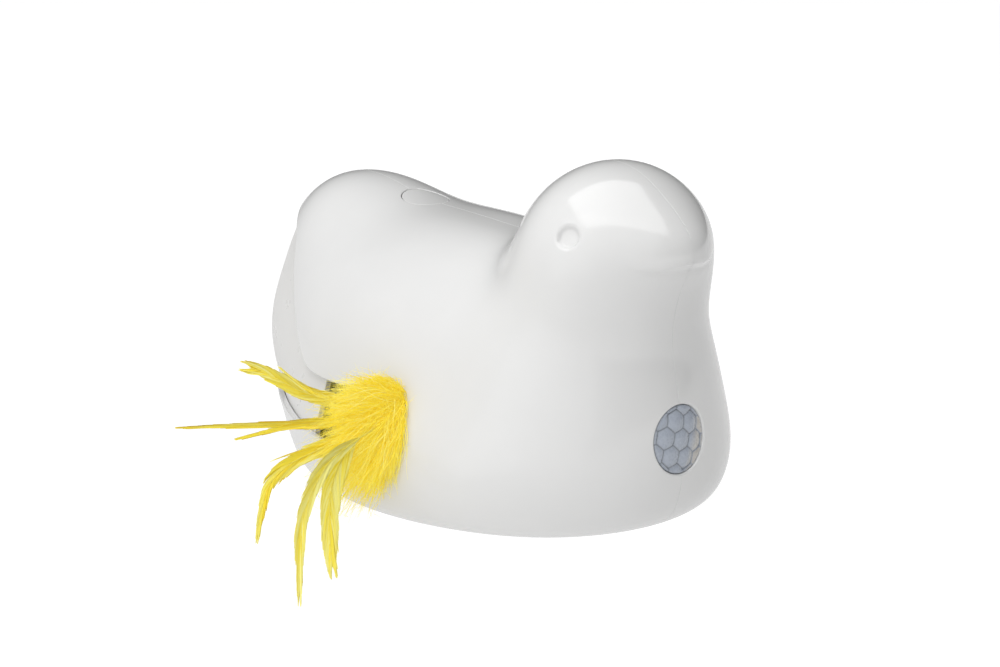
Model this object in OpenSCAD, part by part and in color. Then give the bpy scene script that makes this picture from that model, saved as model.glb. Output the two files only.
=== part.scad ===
// Bird-shaped toy with a motion sensor in its chest and a motor-driven feather wand.
// Origin: on the floor, on the centre seam, under the middle of the body.
// +X is the way the bird faces, +Z is up, and the centre seam lies in the plane Y = 0.

/* [Body] */
// Length of the main body lobe
body_length = 198; // [192:1:204]
// Width of the main body lobe
body_width = 112; // [106:1:116]
// Height of the main body lobe
body_height = 105; // [100:1:108]
// Width across the belly, the widest place
belly_width = 141; // [134:1:146]
// Width of the head
head_width = 71; // [66:1:76]
// Height of the head lobe
head_height = 66; // [60:1:70]
// Thickness of the two shells
wall = 2.2; // [1.8:0.1:2.4]
// Thickness of the rear cover
cover_wall = 2; // [1.6:0.1:2.2]

/* [Side opening] */
// Height of the middle of the opening's round front end
opening_z = 37; // [36:0.5:38]
// Radius of the opening's round front end
opening_r = 12; // [11:0.5:13]
// How far forward the middle of the round end lies
opening_x = 16; // [12:1:18]
// Where the rear cover's front edge stands
cover_front_x = -20; // [-24:1:-16]

/* [Sensor] */
// Diameter of the faceted lens
lens_d = 23.6; // [22:0.2:26]
// Height of the lens
lens_z = 35.6; // [34:0.2:38]

/* [Power button] */
// Diameter of the button
button_d = 17.4; // [15:0.2:19]
// How far the button travels
button_travel = 1.2; // [0.8:0.1:1.4]
// Place of the button along the back
button_x = -33; // [-36:1:-28]

/* [Wand] */
// Place of the wand's upright axis
wand_x = -25; // [-27:1:-23]
// Direction of the wand arm, from straight ahead
wand_angle = -51; // [-56:1:-48]
// Height of the wand arm
wand_z = 45; // [44.5:0.5:46]
// Reach of the rigid arm with its ferrule
wand_reach = 45; // [42:1:46]

/* [Gears] */
// Tooth size: pitch diameter over number of teeth
gear_module = 0.8; // [0.7:0.1:0.8]
// Teeth on each pinion
pinion_teeth = 8; // [8:1:9]
// Teeth on each reduction wheel
wheel_teeth = 30; // [28:1:31]
// Teeth on the output gear
output_teeth = 40; // [36:1:40]

/* [Batteries] */
// Diameter of an AA cell
cell_d = 14.2; // [13.8:0.1:14.5]
// Length of an AA cell
cell_length = 50; // [49:0.5:50.5]

/* [Hidden] */
$fn = 48;

// Outer form: lobes that melt into each other. Each is [x, z, half length, half width, half height, tilt].
body_lobe = [-7, 45.5, body_length / 2, body_width / 2, body_height / 2, 0];
chest_lobe = [55.5, 41, 30.5, 45, 51.5, 0];
head_lobe = [65.5, 92, 28, head_width / 2, head_height / 2, 0];
beak_lobe = [79.5, 103, 19.5, 14.5, 10, -7.5];
tail_lobe = [-52.5, 66.5, 46, 32.5, 33, -33.5];
belly_lobe = [11, 18, 83, belly_width / 2, 43, 0];
trunk_lobes = [body_lobe, chest_lobe, tail_lobe, belly_lobe];
head_lobes = [head_lobe, beak_lobe];
// Dish along the back, between the wings
dish_lobe = [-2, 121, 62, 20, 19, -8];
lobe_blend = 0.16;
dish_blend = 0.3;
base_blend = 0.35;
base_z = 1.5;
core = [20, 0, 45];
core_slide = 60;
skin_turns = 44;
skin_rings = 26;
reach_low = 10;
reach_high = 150;
reach_steps = 16;
slope_step = 0.01;
far = 300;
gap = 0.3;

// Sensor
lens_x = 99;
lens_dome_r = 45;
lens_wall = 1;
lens_flange_x = 92.4;
lens_flange_r = lens_d / 2 + 1.6;
retainer_post_y = 15.4;
retainer_post_r = 1;
sensor_board_x = 78;
// Back of the bird under the button, and its slope
button_z = 98.9;
button_slope = 7;
button_board_drop = 13;
// Eye dimples
eye = [75.4, 31.4, 106.1];
eye_r = 5.2;
eye_out = 3.9;

// Base
base_t = 2.5;
base_top = base_z + base_t;
base_x = [-18, 46];
base_y = 16;
base_corner_r = 24;
shell_screw_at = [[-34, 18], [-34, -18], [66, 16], [66, -16]];
foot_at = [[0, 0], [-22, 33], [-22, -33], [60, 30.5], [60, -30.5]];
foot_r = 3.2;
boss_r = 3;
screw_r = 1.25;
screw_hole_r = 1.35;
screw_head_r = 2.4;
// Battery bay
cell_count = 3;
cell_pitch = 15;
bay_x = 35;
bay_wall = 1.2;
bay_length = cell_count * cell_pitch + 0.4;
bay_width = cell_length + 7.6;
bay_top = base_top + cell_d + 1.4;
cell_z = base_top + 0.4 + cell_d / 2;
door_screw_y = -33;
// Control board
board_t = 1.6;
board_z = bay_top + bay_wall + 3;
board_size = [44, 48];
board_hole = [19, 21];

// Gear train, from the output back to the motor
wheel_t = 2.4;
pinion_r = gear_module * pinion_teeth / 2;
wheel_r = gear_module * wheel_teeth / 2;
output_r = gear_module * output_teeth / 2;
output_at = [wand_x, 0];
gear_2_at = output_at + [output_r + pinion_r, 0];
gear_1_dir = 75;
gear_1_at = gear_2_at + (wheel_r + pinion_r) * [cos(gear_1_dir), sin(gear_1_dir)];
motor_dir = 160;
// Turns a tooth of the driven pinion away from the tooth it meets
pinion_shift = 180 + 180 / pinion_teeth;
motor_at = gear_1_at + (wheel_r + pinion_r) * [cos(motor_dir), sin(motor_dir)];
plate_z = 26;
plate_t = 2;
level_1 = plate_z + plate_t + 0.6;
level_2 = level_1 + wheel_t + 0.6;
level_3 = level_2 + wheel_t + 0.9;
cover_z = level_3 + wheel_t + 1.3;
cover_top = cover_z + plate_t;
box_wall = 1.6;
box_boss_at = [[wand_x - 21, 0], [-8, -18.2], [14.4, 8], [-13, 34]];
leg_at = [[-37, -8], [-37, 9], [1, -6], [7, 20]];
leg_r = 3.4;
gear_pin_r = 1;
shaft_r = 1.5;
run = 0.05;
motor_r = 10;
motor_top = plate_z - 0.05;
motor_bottom = base_top + 0.3;

// Feathers: each plume is [start, bend, tip, width]
stem_end = [18.5, -66, 41];
plumes = [
    [[17, -68, 44], [-5, -79, 42.8], [-27, -90, 52.5], 7],
    [[17, -69, 42], [-10, -84, 32], [-36.5, -111, 32], 6],
    [[18, -70, 40], [0.5, -100, 30.5], [11, -113, 3.5], 7],
    [[20, -70, 39], [36.8, -116, 38.8], [66.5, -138, 3.5], 7],
    [[21, -70, 38], [28, -102, 29], [54.5, -115, 3.5], 10]];
fluff_at = [8, -82, 36];
fluff_r = [20, 12, 19];

// Routes of the leads inside the body
motor_route = [[-16, 10.4, 8], [-14, 4, 8], [-6, -10, 12], [4, -23, 20], [10, -22, 30], [19, -14, 34], [19.5, -11, 31]];
battery_route = [[20, 26.8, 18.9], [20, 26.8, 23], [20, 26, 29], [21, 19, 34], [21.5, 11, 31]];
sensor_route = [[77, 0, 40], [72, 0, 44], [60, 0, 42], [53.5, 0, 37], [52.5, 0, 31]];
button_route = [[-34.8, 0, 84.6], [-34, 0, 78], [-28, 2, 68], [-10, 4, 58], [12, 3, 52], [24, 0, 44], [25.5, 0, 31]];

// ---------- outer form ----------

function lobe_gap(p, e) =
    let (dx = p.x - e[0], dz = p.z - e[1])
    (norm([(dx * cos(e[5]) + dz * sin(e[5])) / e[2], p.y / e[3], (dz * cos(e[5]) - dx * sin(e[5])) / e[4]]) - 1)
    * min(e[2], e[3], e[4]);

function smooth_max(a, b, k) =
    let (m = max(a, b)) m + ln(exp(k * (a - m)) + exp(k * (b - m))) / k;

// Distance to forms that melt into each other, from the distance to each
function joined(gaps) =
    let (parts = [for (g = gaps) exp(-lobe_blend * g)])
    -ln(parts * [for (g = gaps) 1]) / lobe_blend;

// Distance to the trunk, with the dish along the back taken out of it
function trunk_gap(p) =
    smooth_max(joined([for (e = trunk_lobes) lobe_gap(p, e)]), -lobe_gap(p, dish_lobe), dish_blend);

// Distance outside the body's skin, near enough, and negative inside it
function body_gap(p) =
    smooth_max(joined(concat([trunk_gap(p)], [for (e = head_lobes) lobe_gap(p, e)])), base_z - p.z, base_blend);

// Start of the ray in a direction. It slides along the body, so that each ray meets the skin once
function ray_start(dir) = core + [core_slide * dir.x, 0, 0];

// Distance along a ray to the skin, by halving
function reach(dir, lo, hi, steps) =
    let (mid = (lo + hi) / 2)
    steps == 0 ? mid
    : body_gap(ray_start(dir) + dir * mid) < 0 ? reach(dir, mid, hi, steps - 1)
    : reach(dir, lo, mid, steps - 1);

// Outward direction of the skin at a point on it
function skin_out(p) =
    let (g = [for (k = [0:2])
        let (step = [for (i = [0:2]) i == k ? slope_step : 0]) body_gap(p + step) - body_gap(p - step)])
    g / norm(g);

function skin_point(turn, lift, level) =
    let (dir = [cos(turn) * cos(lift), sin(turn) * cos(lift), sin(lift)],
        p = ray_start(dir) + dir * reach(dir, reach_low, reach_high, reach_steps))
    level == 0 ? p : p + level * skin_out(p);

// The closed body at a given depth under its skin
module skin(level) {
    rows = [for (i = [1:skin_rings - 1]) for (j = [0:skin_turns - 1])
        skin_point(j * 360 / skin_turns, -90 + i * 180 / skin_rings, level)];
    low = len(rows);
    points = concat(rows, [skin_point(0, -90, level), skin_point(0, 90, level)]);
    sides = [for (i = [0:skin_rings - 3]) for (j = [0:skin_turns - 1])
        let (k = (j + 1) % skin_turns)
        [i * skin_turns + j, (i + 1) * skin_turns + j, (i + 1) * skin_turns + k, i * skin_turns + k]];
    last = (skin_rings - 2) * skin_turns;
    caps = [for (j = [0:skin_turns - 1]) each
        let (k = (j + 1) % skin_turns) [[low, j, k], [low + 1, last + k, last + j]]];
    polyhedron(points, concat([for (f = sides) each [[f[0], f[1], f[2]], [f[0], f[2], f[3]]]], caps));
}

// Side view of the recess between the wing lips, with the round front end of the side opening
module recess_outline(grow) {
    round_end = [for (a = [-90:15:90]) [opening_x + opening_r * cos(a), opening_z + opening_r * sin(a)]];
    lip = [[4, 46.5], [-8, 44.3], [-26, 44], [-35, 46], [-42, 52], [-50, 61], [-61, 72], [-72, 83], [-86, 91]];
    offset(delta = grow)
        polygon(concat([[-140, opening_z - opening_r]], round_end, lip, [[-100, 94], [-140, 95]]));
}

module along_y(height = far) {
    rotate([90, 0, 0]) linear_extrude(height, center = true) children();
}

module base_outline(grow) {
    hull()
        for (x = base_x, y = [-base_y, base_y])
            translate([x, y]) circle(base_corner_r + grow);
}

module at_button() {
    translate([button_x, 0, button_z]) rotate([0, button_slope, 0]) children();
}

module at_lens(x) {
    translate([x, 0, lens_z]) rotate([0, 90, 0]) children();
}

module shell(side) {
    resize([0, 0, 0])
        difference() {
            intersection() {
                union() {
                    difference() {
                        skin(0);
                        skin(-wall);
                    }
                    intersection() {
                        skin(-wall / 2);
                        shell_bosses();
                    }
                }
                translate([-far / 2, side > 0 ? 0 : -far, -1]) cube([far, far, far]);
            }
            along_y() recess_outline(0);
            translate([0, 0, -1]) linear_extrude(base_top + 1.2) base_outline(0.2);
            at_lens(lens_x - 12) cylinder(h = 30, r = lens_d / 2 + 0.2);
            at_button() translate([0, 0, -12]) cylinder(h = 30, r = button_d / 2 + 0.25);
            translate([eye.x + eye_out * 0.45, side * (eye.y + eye_out * 0.8), eye.z + eye_out * 0.3])
                sphere(eye_r);
            for (p = shell_screw_at)
                translate([p.x, p.y, 0]) cylinder(h = 14, r = screw_hole_r, $fn = 16);
        }
}

// Inside the shells: the lens seat with its two posts, and screw bosses with a rib out to the wall
module shell_bosses() {
    at_lens(lens_flange_x + 1.4) cylinder(h = 8, r = lens_flange_r);
    for (y = [-1, 1])
        translate([0, y * retainer_post_y, 0]) at_lens(lens_flange_x - 3.5) cylinder(h = 8, r = retainer_post_r, $fn = 16);
    for (p = shell_screw_at) {
        outward = p.x > 0 ? [1, 0] : [0, sign(p.y)];
        translate([p.x, p.y, base_top + gap]) {
            cylinder(h = 12, r = boss_r, $fn = 24);
            rotate([0, 0, atan2(outward.y, outward.x)]) translate([1, -1, 3]) cube([40, 2, 9]);
        }
    }
}

module shell_right() {
    color("white") shell(-1);
}

module shell_left() {
    color("white") shell(1);
}

module rear_cover() {
    color("gainsboro")
        resize([0, 0, 0])
            difference() {
                intersection() {
                    skin(-wall - gap);
                    along_y() recess_outline(3);
                    translate([-far + cover_front_x, -far / 2, 0]) cube(far);
                }
                skin(-wall - gap - cover_wall);
            }
}

// ---------- base and fixings ----------

module screw(length, head_t = 1.4, head_r = screw_head_r) {
    cylinder(h = length, r = screw_r);
    difference() {
        translate([0, 0, -head_t]) cylinder(h = head_t, r = head_r);
        for (a = [0, 90])
            rotate([0, 0, a]) translate([-1.3, -0.3, -head_t - 0.1]) cube([2.6, 0.6, 0.8]);
    }
}

module screw_seat(depth) {
    translate([0, 0, -1]) cylinder(h = base_t + 4, r = screw_hole_r);
    translate([0, 0, -1]) cylinder(h = depth + 1, r = screw_head_r + 0.2);
}

module door_outline(grow) {
    translate([bay_x, 0]) square([bay_length - 1 + 2 * grow, bay_width - 1 + 2 * grow], center = true);
    translate([bay_x, door_screw_y + 1.2]) square([9 + 2 * grow, 8 + 2 * grow], center = true);
}

module base_plate() {
    color("whitesmoke")
        difference() {
            union() {
                translate([0, 0, base_z]) linear_extrude(base_t) base_outline(0);
                translate([bay_x, door_screw_y, base_z + 1]) cylinder(h = 10, r = boss_r);
            }
            translate([0, 0, base_z - 1]) linear_extrude(3.2) door_outline(0.3);
            translate([bay_x, 0, base_z + base_t / 2]) cube([bay_length - 2, bay_width - 2, 6], center = true);
            translate([bay_x, door_screw_y, base_z]) cylinder(h = 10, r = screw_hole_r);
            for (p = shell_screw_at)
                translate([p.x, p.y, base_z]) screw_seat(1.5);
            for (p = leg_at)
                translate([p.x, p.y, base_z]) screw_seat(1.5);
        }
}

module rubber_feet() {
    color("dimgray")
        for (p = foot_at)
            translate(p) cylinder(h = base_z, r = foot_r);
}

module base_screws() {
    color("silver")
        for (p = shell_screw_at)
            translate([p.x, p.y, base_z + 1.5]) screw(9);
}

module leg_screws() {
    color("silver")
        for (p = leg_at)
            translate([p.x, p.y, base_z + 1.5]) screw(9);
}

// ---------- batteries ----------

module battery_tray() {
    outer = [bay_length + 2 * bay_wall, bay_width + 2 * bay_wall, bay_top + bay_wall - base_top];
    color("whitesmoke")
        difference() {
            union() {
                translate([bay_x - outer.x / 2, -outer.y / 2, base_top]) cube(outer);
                for (x = [-1, 1], y = [-1, 1])
                    translate([bay_x + x * board_hole.x, y * board_hole.y, bay_top])
                        cylinder(h = board_z - bay_top, r = 2.6);
            }
            translate([bay_x - bay_length / 2, -bay_width / 2, base_top - 1])
                cube([bay_length, bay_width, bay_top - base_top + 1]);
            for (x = [-1, 1], y = [-1, 1])
                translate([bay_x + x * board_hole.x, y * board_hole.y, bay_top + 0.6])
                    cylinder(h = 10, r = 0.95);
            translate([battery_route[0].x, battery_route[0].y, bay_top - 1]) cylinder(h = 4, r = 1.7);
        }
}

module cell() {
    rotate([90, 0, 0])
        rotate_extrude()
            polygon([[0, -cell_length / 2 + 0.3], [cell_d / 2 - 0.6, -cell_length / 2 + 0.3],
                [cell_d / 2, -cell_length / 2 + 0.9], [cell_d / 2, cell_length / 2 - 2],
                [cell_d / 2 - 0.6, cell_length / 2 - 1.4], [2.6, cell_length / 2 - 1.4],
                [2.6, cell_length / 2], [0, cell_length / 2]]);
}

module at_cells() {
    for (i = [0:cell_count - 1])
        translate([bay_x + (i - 1) * cell_pitch, 0, cell_z]) rotate([0, 0, i % 2 * 180]) children();
}

module battery_cells() {
    color("darkgoldenrod") at_cells() cell();
}

module contact_plates() {
    color("silver")
        for (i = [0:cell_count - 1], side = [-1, 1])
            translate([bay_x + (i - 1) * cell_pitch, side * (bay_width / 2 - 0.35), cell_z])
                translate([0, 0, 0.9]) cube([11, 0.5, 12], center = true);
}

module contact_springs() {
    color("silver")
        at_cells()
            translate([0, cell_length / 2 - 0.1, 0]) rotate([-90, 0, 0])
                for (i = [0:3])
                    translate([0, 0, 0.35 + i * 0.75])
                        rotate_extrude() translate([3.2 - i * 0.25 + 1, 0]) circle(0.35, $fn = 16);
}

module battery_door() {
    color("whitesmoke")
        difference() {
            translate([0, 0, base_z]) linear_extrude(1.9) door_outline(0);
            translate([bay_x, door_screw_y, base_z]) screw_seat(0.9);
            for (i = [-2:2])
                translate([bay_x + i * 2.4, 18, base_z]) cube([1, 12, 0.8], center = true);
        }
}

module battery_door_screw() {
    color("silver") translate([bay_x, door_screw_y, base_z + 0.9]) screw(6, 0.8);
}

// ---------- sensor ----------

module pir_lens() {
    r = lens_d / 2;
    inner = lens_dome_r - lens_wall;
    flange = lens_x - lens_flange_x;
    color("lightgray")
        at_lens(lens_flange_x)
            rotate_extrude()
                polygon(concat(
                    [for (i = [0:8]) let (a = i / 8 * asin(r / lens_dome_r))
                        [lens_dome_r * sin(a), flange - lens_dome_r + lens_dome_r * cos(a)]],
                    [[r, 1.2], [lens_flange_r, 1.2], [lens_flange_r, 0], [r - lens_wall, 0]],
                    [for (i = [8:-1:0]) let (a = i / 8 * asin((r - lens_wall) / inner))
                        [inner * sin(a), flange - lens_dome_r + inner * cos(a)]]));
}

module lens_retainer() {
    color("whitesmoke")
        at_lens(lens_flange_x - 2)
            difference() {
                union() {
                    cylinder(h = 2, r = lens_flange_r + 0.4);
                    for (y = [-1, 1])
                        translate([-3, y * 15 - 3, 0]) cube([6, 6, 2]);
                }
                translate([0, 0, -1]) cylinder(h = 4, r = lens_d / 2 - 1);
                for (y = [-1, 1])
                    translate([0, y * retainer_post_y, -1]) cylinder(h = 4, r = retainer_post_r + 0.1);
            }
}

module sensor_shroud() {
    depth = lens_flange_x - 2 - sensor_board_x - board_t;
    color("dimgray")
        at_lens(sensor_board_x + board_t)
            difference() {
                cylinder(h = depth, r = 12.6);
                translate([0, 0, -1]) cylinder(h = depth + 2, r = 11.2);
            }
}

module pir_sensor() {
    color("silver")
        at_lens(sensor_board_x + board_t) {
            cylinder(h = 0.5, r = 4.6);
            difference() {
                cylinder(h = 4, r = 4.1);
                translate([0, 0, 4.1]) cube([3, 4, 0.8], center = true);
            }
        }
}

module pir_board() {
    color("seagreen")
        translate([sensor_board_x, -13, lens_z - 13]) cube([board_t, 26, 26]);
}

// ---------- power button ----------

module power_button() {
    r = button_d / 2;
    color("white")
        at_button() {
            rotate_extrude()
                polygon([[0, -2.4], [r - 1.4, -2.4], [r - 1.4, -4.4], [r, -4.4], [r, -0.5], [r - 0.5, 0], [0, 0]]);
            translate([0, 0, 2.3 - button_board_drop + button_travel])
                cylinder(h = button_board_drop - 4.6 - button_travel, r = 1.8);
        }
}

module button_spring() {
    turns = 3.5;
    steps = 12;
    low = board_t - button_board_drop;
    high = -2.5;
    path = [for (i = [0:turns * steps])
        [4 * cos(i * 360 / steps), 4 * sin(i * 360 / steps), low + 0.4 + i / (turns * steps) * (high - low - 0.8)]];
    color("silver") at_button() tube(path, 0.35, 6);
}

module button_carrier() {
    outer = button_d / 2 + 2.2;
    color("whitesmoke")
        at_button()
            difference() {
                translate([0, 0, -button_board_drop - 2]) cylinder(h = button_board_drop - 1.5, r = outer);
                translate([0, 0, -button_board_drop]) cylinder(h = button_board_drop, r = outer - 1.4);
                translate([0, 0, -button_board_drop - 3]) cylinder(h = 4, r = 3);
            }
}

module button_board() {
    color("seagreen")
        at_button() translate([0, 0, -button_board_drop]) cylinder(h = board_t, r = button_d / 2 + 0.6);
}

module button_switch() {
    color("black")
        at_button() translate([0, 0, board_t - button_board_drop]) {
            translate([-2.2, -2.2, 0]) cube([4.4, 4.4, 0.3]);
            cylinder(h = 0.65, r = 1.4);
        }
}

// ---------- control electronics ----------

module control_board() {
    color("seagreen")
        difference() {
            translate([bay_x - board_size.x / 2, -board_size.y / 2, board_z])
                cube([board_size.x, board_size.y, board_t]);
            for (x = [-1, 1], y = [-1, 1])
                translate([bay_x + x * board_hole.x, y * board_hole.y, board_z - 1]) cylinder(h = 4, r = 1.35);
        }
}

module control_chip() {
    color("black") {
        translate([bay_x - 5, -4, board_z + board_t]) cube([10, 6, 1.8]);
        for (i = [0:6], side = [-1, 1])
            translate([bay_x - 4.1 + i * 1.27, side * 3.6 - 1.35, board_z + board_t]) cube([0.5, 0.7, 0.9]);
    }
}

module capacitors() {
    color("navy")
        for (p = [[-6, 16, 3.2, 8], [4, 16, 2.5, 6], [6, -16, 2.5, 6]])
            translate([bay_x + p[0], p[1], board_z + board_t]) cylinder(h = p[3], r = p[2]);
}

module board_connectors() {
    color("ivory")
        for (p = [[-18, -14], [-16, 8], [15, -3], [-12, -3]])
            translate([bay_x + p.x, p.y, board_z + board_t]) cube([5, 6, 5]);
}

module board_screws() {
    color("silver")
        for (x = [-1, 1], y = [-1, 1])
            translate([bay_x + x * board_hole.x, y * board_hole.y, board_z + board_t])
                rotate([180, 0, 0]) {
                    cylinder(h = 4.5, r = 0.9);
                    translate([0, 0, -1.2]) cylinder(h = 1.2, r = 1.9);
                }
}

// ---------- gearbox ----------

module box_outline(grow) {
    hull() {
        translate(output_at) circle(output_r + 1.6 + grow);
        translate(gear_2_at) circle(wheel_r + 1.6 + grow);
        translate(gear_1_at) circle(wheel_r + 1.6 + grow);
        translate(motor_at) circle(motor_r + grow);
    }
}

module gearbox_base() {
    color("lightgray")
        difference() {
            union() {
                translate([0, 0, plate_z]) linear_extrude(cover_z - plate_z) box_outline(box_wall);
                for (p = box_boss_at)
                    translate([p.x, p.y, plate_z]) cylinder(h = cover_z - plate_z, r = boss_r);
                for (p = leg_at)
                    translate([p.x, p.y, base_top]) cylinder(h = plate_z - base_top + 0.5, r = leg_r);
            }
            translate([0, 0, plate_z + plate_t]) linear_extrude(20) box_outline(0);
            translate([motor_at.x, motor_at.y, plate_z - 1]) cylinder(h = 5, r = 4.4);
            translate([output_at.x, output_at.y, plate_z - 1]) cylinder(h = 5, r = 3);
            for (p = [gear_1_at, gear_2_at])
                translate([p.x, p.y, plate_z - 1]) cylinder(h = 5, r = gear_pin_r);
            for (p = box_boss_at)
                translate([p.x, p.y, cover_z - 6.5]) cylinder(h = 8, r = 0.95);
            for (p = leg_at)
                translate([p.x, p.y, base_top - 1]) cylinder(h = 10, r = screw_hole_r);
        }
}

module gearbox_cover() {
    color("lightgray")
        difference() {
            union() {
                translate([0, 0, cover_z]) linear_extrude(plate_t) box_outline(box_wall);
                for (p = box_boss_at)
                    translate([p.x, p.y, cover_z]) cylinder(h = plate_t, r = boss_r);
            }
            translate([output_at.x, output_at.y, cover_z - 1]) cylinder(h = 5, r = 3);
            for (p = [gear_1_at, gear_2_at])
                translate([p.x, p.y, cover_z - 1]) cylinder(h = 2, r = gear_pin_r);
            for (p = box_boss_at)
                translate([p.x, p.y, cover_z - 1]) cylinder(h = 5, r = 1.2);
        }
}

module gearbox_screws() {
    color("silver")
        for (p = box_boss_at)
            translate([p.x, p.y, cover_top]) rotate([180, 0, 0]) {
                cylinder(h = 7, r = 0.9);
                translate([0, 0, -1.1]) cylinder(h = 1.1, r = 1.9);
            }
}

module gear_pins() {
    color("silver")
        for (p = [gear_1_at, gear_2_at])
            translate([p.x, p.y, plate_z]) cylinder(h = cover_z + 0.9 - plate_z, r = gear_pin_r);
}

module shaft_bushes() {
    color("goldenrod")
        for (z = [plate_z, cover_z])
            translate([output_at.x, output_at.y, z])
                difference() {
                    cylinder(h = plate_t, r = 3);
                    translate([0, 0, -1]) cylinder(h = plate_t + 2, r = shaft_r + run);
                }
}

module motor() {
    color("silver")
        translate([motor_at.x, motor_at.y, 0])
            difference() {
                union() {
                    translate([0, 0, motor_bottom])
                        intersection() {
                            cylinder(h = motor_top - motor_bottom, r = motor_r);
                            translate([-motor_r, -7.6, 0]) cube([2 * motor_r, 15.2, 30]);
                        }
                    translate([0, 0, motor_top - 0.1]) cylinder(h = 1.8, r = 3);
                }
                translate([0, 0, motor_bottom + 4]) cylinder(h = 40, r = 1 + run);
            }
}

module motor_shaft() {
    color("silver")
        translate([motor_at.x, motor_at.y, motor_bottom + 4.3])
            cylinder(h = level_1 + wheel_t + 0.4 - motor_bottom - 4.3, r = 1);
}

// Points of a toothed wheel, with a tooth centred on the given direction
function gear_points(teeth, toward) =
    let (pitch_r = gear_module * teeth / 2, root = pitch_r - gear_module, tip = pitch_r + 0.7 * gear_module)
    [for (i = [0:teeth - 1]) each
        let (mid = toward + i * 360 / teeth, at_root = 57.3 * 1.0 * gear_module / root,
            at_tip = 57.3 * 0.42 * gear_module / tip)
        [root * [cos(mid - at_root), sin(mid - at_root)], tip * [cos(mid - at_tip), sin(mid - at_tip)],
            tip * [cos(mid + at_tip), sin(mid + at_tip)], root * [cos(mid + at_root), sin(mid + at_root)]]];

module toothed(teeth, toward, height) {
    linear_extrude(height) polygon(gear_points(teeth, toward));
}

module motor_pinion() {
    color("goldenrod")
        translate([motor_at.x, motor_at.y, level_1])
            difference() {
                toothed(pinion_teeth, motor_dir + pinion_shift, wheel_t);
                translate([0, 0, -1]) cylinder(h = 10, r = 1);
            }
}

module compound_gear(at, z, toward_driver, toward_driven, pinion_top) {
    translate([at.x, at.y, z])
        difference() {
            union() {
                toothed(wheel_teeth, toward_driver, wheel_t);
                toothed(pinion_teeth, toward_driven, pinion_top - z);
            }
            translate([0, 0, -1]) cylinder(h = 20, r = gear_pin_r + run);
        }
}

module reduction_gear_1() {
    color("ivory")
        compound_gear(gear_1_at, level_1, motor_dir, gear_1_dir + pinion_shift, level_2 + wheel_t + 0.2);
}

module reduction_gear_2() {
    color("ivory")
        compound_gear(gear_2_at, level_2, gear_1_dir, pinion_shift, level_3 + wheel_t + 0.2);
}

module output_gear() {
    color("ivory")
        translate([output_at.x, output_at.y, level_3])
            difference() {
                union() {
                    toothed(output_teeth, 0, wheel_t);
                    translate([0, 0, -1.6]) cylinder(h = wheel_t + 2.2, r = 4);
                }
                translate([0, 0, -3]) cylinder(h = 10, r = shaft_r);
                for (a = [0:60:300])
                    rotate([0, 0, a + 30]) translate([9, 0, -1]) cylinder(h = 6, r = 2.6);
            }
}

module output_shaft() {
    color("silver")
        translate([output_at.x, output_at.y, plate_z + 0.2])
            difference() {
                cylinder(h = wand_z - plate_z - 0.4, r = shaft_r);
                translate([0, 0, wand_z - plate_z - 4]) cylinder(h = 5, r = 0.8);
            }
}

// ---------- wand ----------

module at_wand() {
    translate([output_at.x, output_at.y, wand_z]) rotate([0, 0, wand_angle]) children();
}

module wand_hub() {
    low = cover_top + 1.5 - wand_z;
    color("white")
        at_wand()
            difference() {
                union() {
                    translate([0, 0, low]) cylinder(h = -1 - low, r = 6.5);
                    translate([-2.6, -2.6, -1.2]) cube([5.2, 5.2, 2.2]);
                }
                translate([0, 0, low - 1]) cylinder(h = 0.9 - low, r = shaft_r);
                translate([0, 0, -1]) cylinder(h = 5, r = 1);
            }
}

module wand_arm() {
    color("white")
        at_wand()
            difference() {
                union() {
                    translate([0, 0, -1]) cylinder(h = 2, r = 6.5);
                    translate([0, -2.5, -1]) cube([34, 5, 2]);
                    translate([4, -0.8, -1]) cube([30, 1.6, 3.6]);
                    translate([wand_reach - 13, 0, 0]) rotate([0, 90, 0]) cylinder(h = 9, r = 3.6);
                }
                translate([-2.65, -2.65, -2]) cube([5.3, 5.3, 5]);
                translate([wand_reach - 12, 0, 0]) rotate([0, 90, 0]) cylinder(h = 12, r = 2.4);
            }
}

module wand_screw() {
    color("silver")
        at_wand() {
            translate([0, 0, 1]) cylinder(h = 1.2, r = 3.2);
            translate([0, 0, -2.6]) cylinder(h = 3.8, r = 0.8);
        }
}

module feather_ferrule() {
    color("gold")
        at_wand()
            translate([wand_reach - 12, 0, 0]) rotate([0, 90, 0])
                difference() {
                    cylinder(h = 12, r = 2.4);
                    translate([0, 0, 2]) cylinder(h = 11, r = 1.2);
                }
}

// ---------- tubes and feathers ----------

function unit(v) = v / norm(v);

// Direction of a path at one of its points
function heading(path, i) = unit(path[min(i + 1, len(path) - 1)] - path[max(i - 1, 0)]);

// A ring of points round a path, wide across and thin upward
function ring(centre, dir, half, sides) =
    let (across = unit(cross(dir, [0.13, 0.21, 1])), up = cross(across, dir))
    [for (k = [0:sides - 1])
        centre + half.x * cos(k * 360 / sides) * across + half.y * sin(k * 360 / sides) * up];

module sweep(path, halves, sides) {
    n = len(path);
    points = [for (i = [0:n - 1]) each ring(path[i], heading(path, i), halves[i], sides)];
    walls = [for (i = [0:n - 2]) for (k = [0:sides - 1]) each
        let (l = (k + 1) % sides, a = i * sides + k, b = i * sides + l, c = a + sides, d = b + sides)
        [[a, b, d], [a, d, c]]];
    ends = [[for (k = [sides - 1:-1:0]) k], [for (k = [0:sides - 1]) (n - 1) * sides + k]];
    polyhedron(points, concat(walls, ends));
}

module tube(path, r, sides) {
    sweep(path, [for (p = path) [r, r]], sides);
}

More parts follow.
